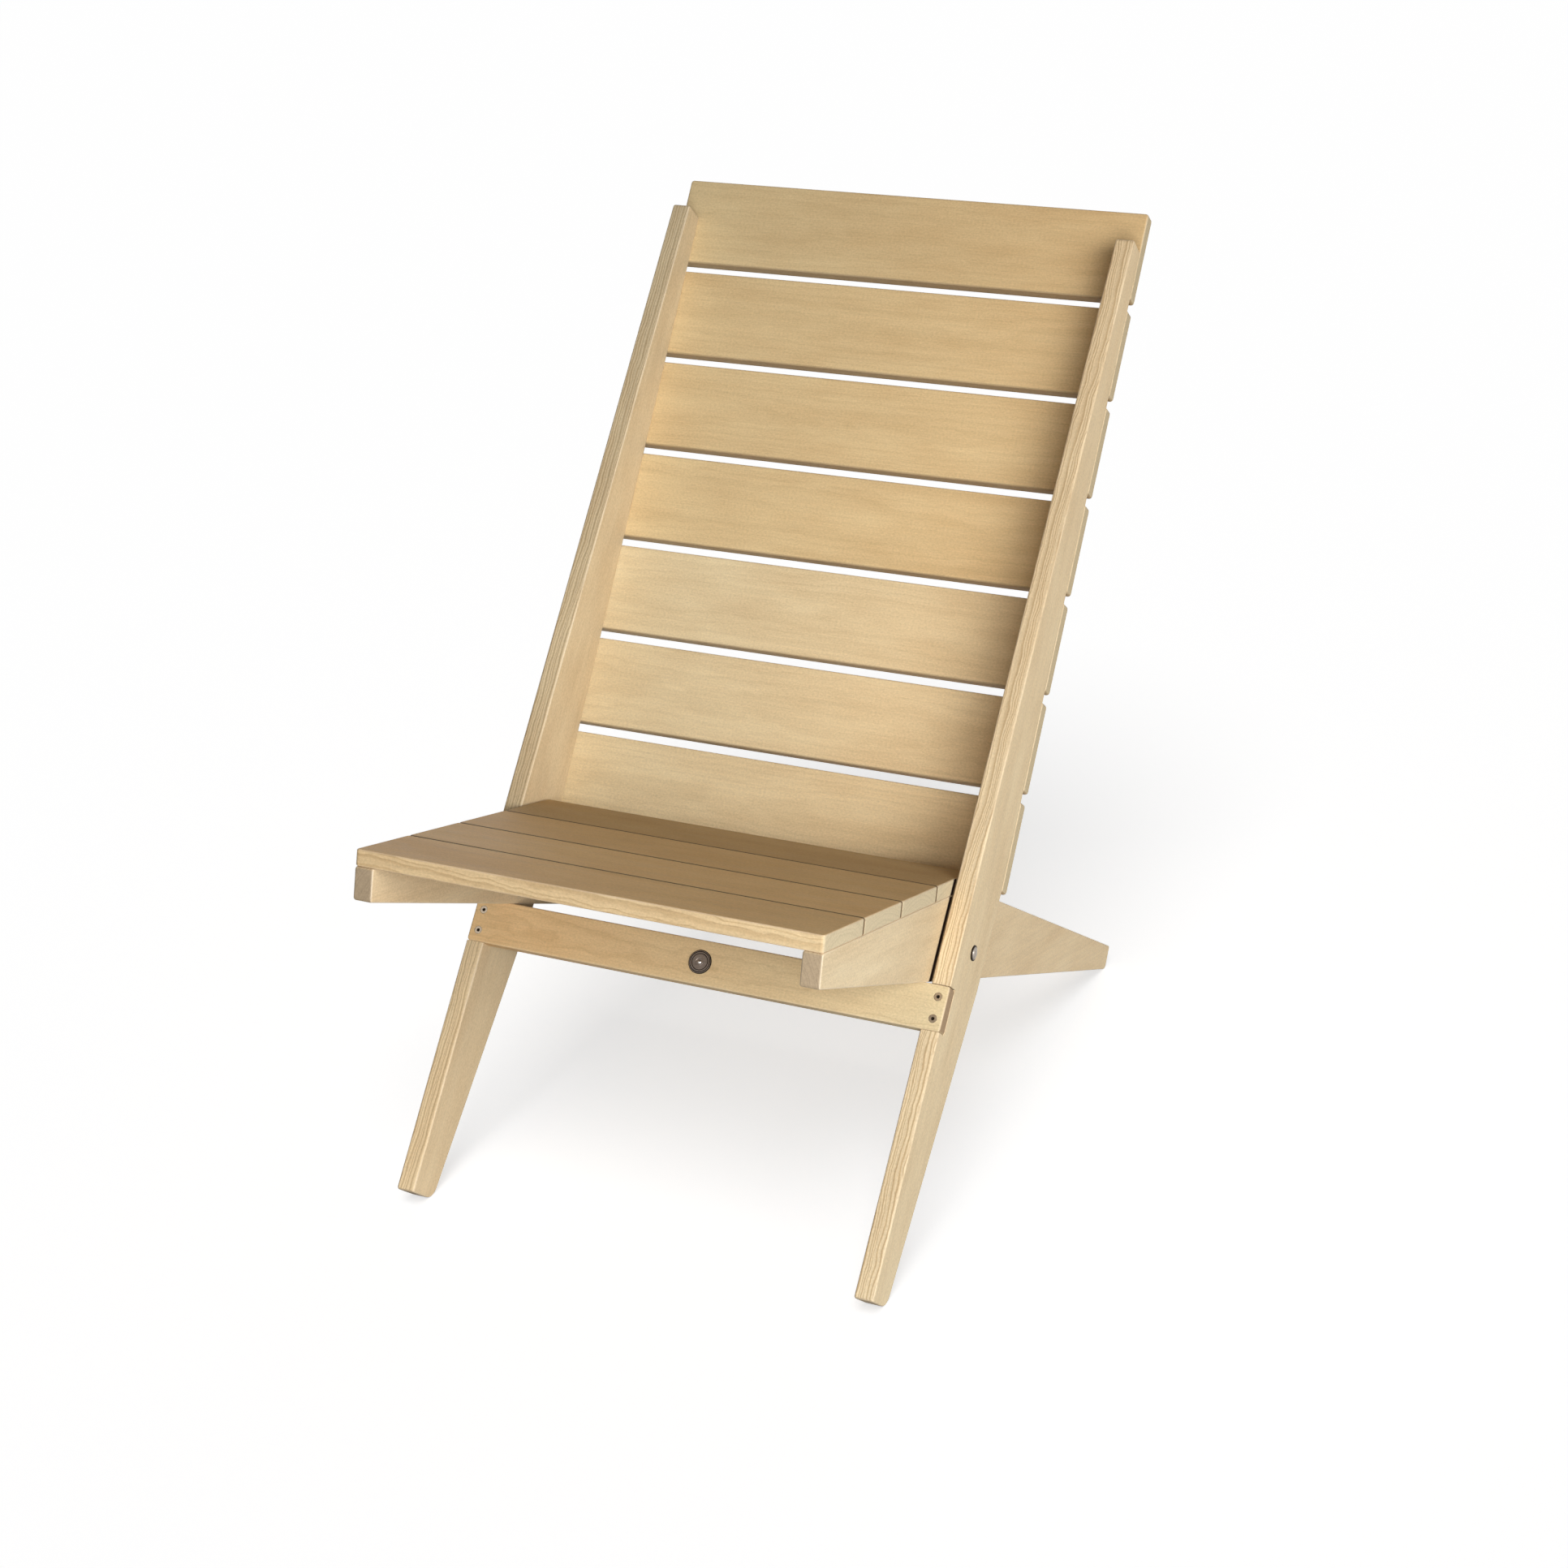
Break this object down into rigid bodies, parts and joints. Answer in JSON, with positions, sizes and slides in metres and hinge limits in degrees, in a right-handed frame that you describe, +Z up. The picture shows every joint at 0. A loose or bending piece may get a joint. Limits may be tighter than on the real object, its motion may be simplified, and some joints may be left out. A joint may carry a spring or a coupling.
{
  "type": "deck chair",
  "caption": "Low wooden deck chair: a slatted back frame and a slatted seat frame that cross and turn on side bolts, the seat resting on a stretcher.",
  "frame": {"origin": "on the floor, under the middle of the chair's overall box", "axes": "X across the chair, +X on the right when the chair is seen from the front; +Y towards the rear, so the sitter looks along -Y; +Z up"},
  "size_m": [0.5064, 0.8272, 0.8566],
  "materials": {
    "back_rail_left": "bare planed softwood, matt",
    "back_rail_right": "bare planed softwood, matt",
    "back_slat_1": "bare planed softwood, matt",
    "back_slat_2": "bare planed softwood, matt",
    "back_slat_3": "bare planed softwood, matt",
    "back_slat_4": "bare planed softwood, matt",
    "back_slat_5": "bare planed softwood, matt",
    "back_slat_6": "bare planed softwood, matt",
    "back_slat_7": "bare planed softwood, matt",
    "front_stretcher": "bare planed softwood, matt",
    "seat_rail_left": "bare planed softwood, matt",
    "seat_rail_right": "bare planed softwood, matt",
    "seat_slat_1": "bare planed softwood, matt",
    "seat_slat_2": "bare planed softwood, matt",
    "seat_slat_3": "bare planed softwood, matt",
    "seat_slat_4": "bare planed softwood, matt",
    "screw_steel": "bright zinc, slightly dull",
    "dowel_wood": "bare hardwood",
    "bolt_steel": "dark coated steel, satin",
    "washer_steel": "plain steel",
    "nut_steel": "plain steel",
    "badge_metal": "aged dark metal",
    "nail_metal": "bright steel"
  },
  "bodies": {
    "back_frame": {"back_rail_left": "back_rail_left", "back_rail_right": "back_rail_right", "back_slat_1": "back_slat_1", "back_slat_2": "back_slat_2", "back_slat_3": "back_slat_3", "back_slat_4": "back_slat_4", "back_slat_5": "back_slat_5", "back_slat_6": "back_slat_6", "back_slat_7": "back_slat_7", "front_stretcher": "front_stretcher", "stretcher_screws": "screw_steel", "back_slat_screws": "screw_steel", "pivot_bolt_left": "bolt_steel", "pivot_bolt_right": "bolt_steel", "gap_washers": "washer_steel", "nut_washers": "washer_steel", "pivot_nut_left": "nut_steel", "pivot_nut_right": "nut_steel", "badge_plate": "badge_metal", "badge_nail": "nail_metal"},
    "seat_frame": {"seat_rail_left": "seat_rail_left", "seat_rail_right": "seat_rail_right", "seat_slat_1": "seat_slat_1", "seat_slat_2": "seat_slat_2", "seat_slat_3": "seat_slat_3", "seat_slat_4": "seat_slat_4", "seat_slat_dowels": "dowel_wood"}
  },
  "joints": [
    {"name": "seat_pivot", "type": "hinge", "parent": "back_frame", "child": "seat_frame", "pos_m": [0, -0.10291, 0.25956], "axis": [-1, 0, 0], "range_deg": [0, 86]}
  ]
}
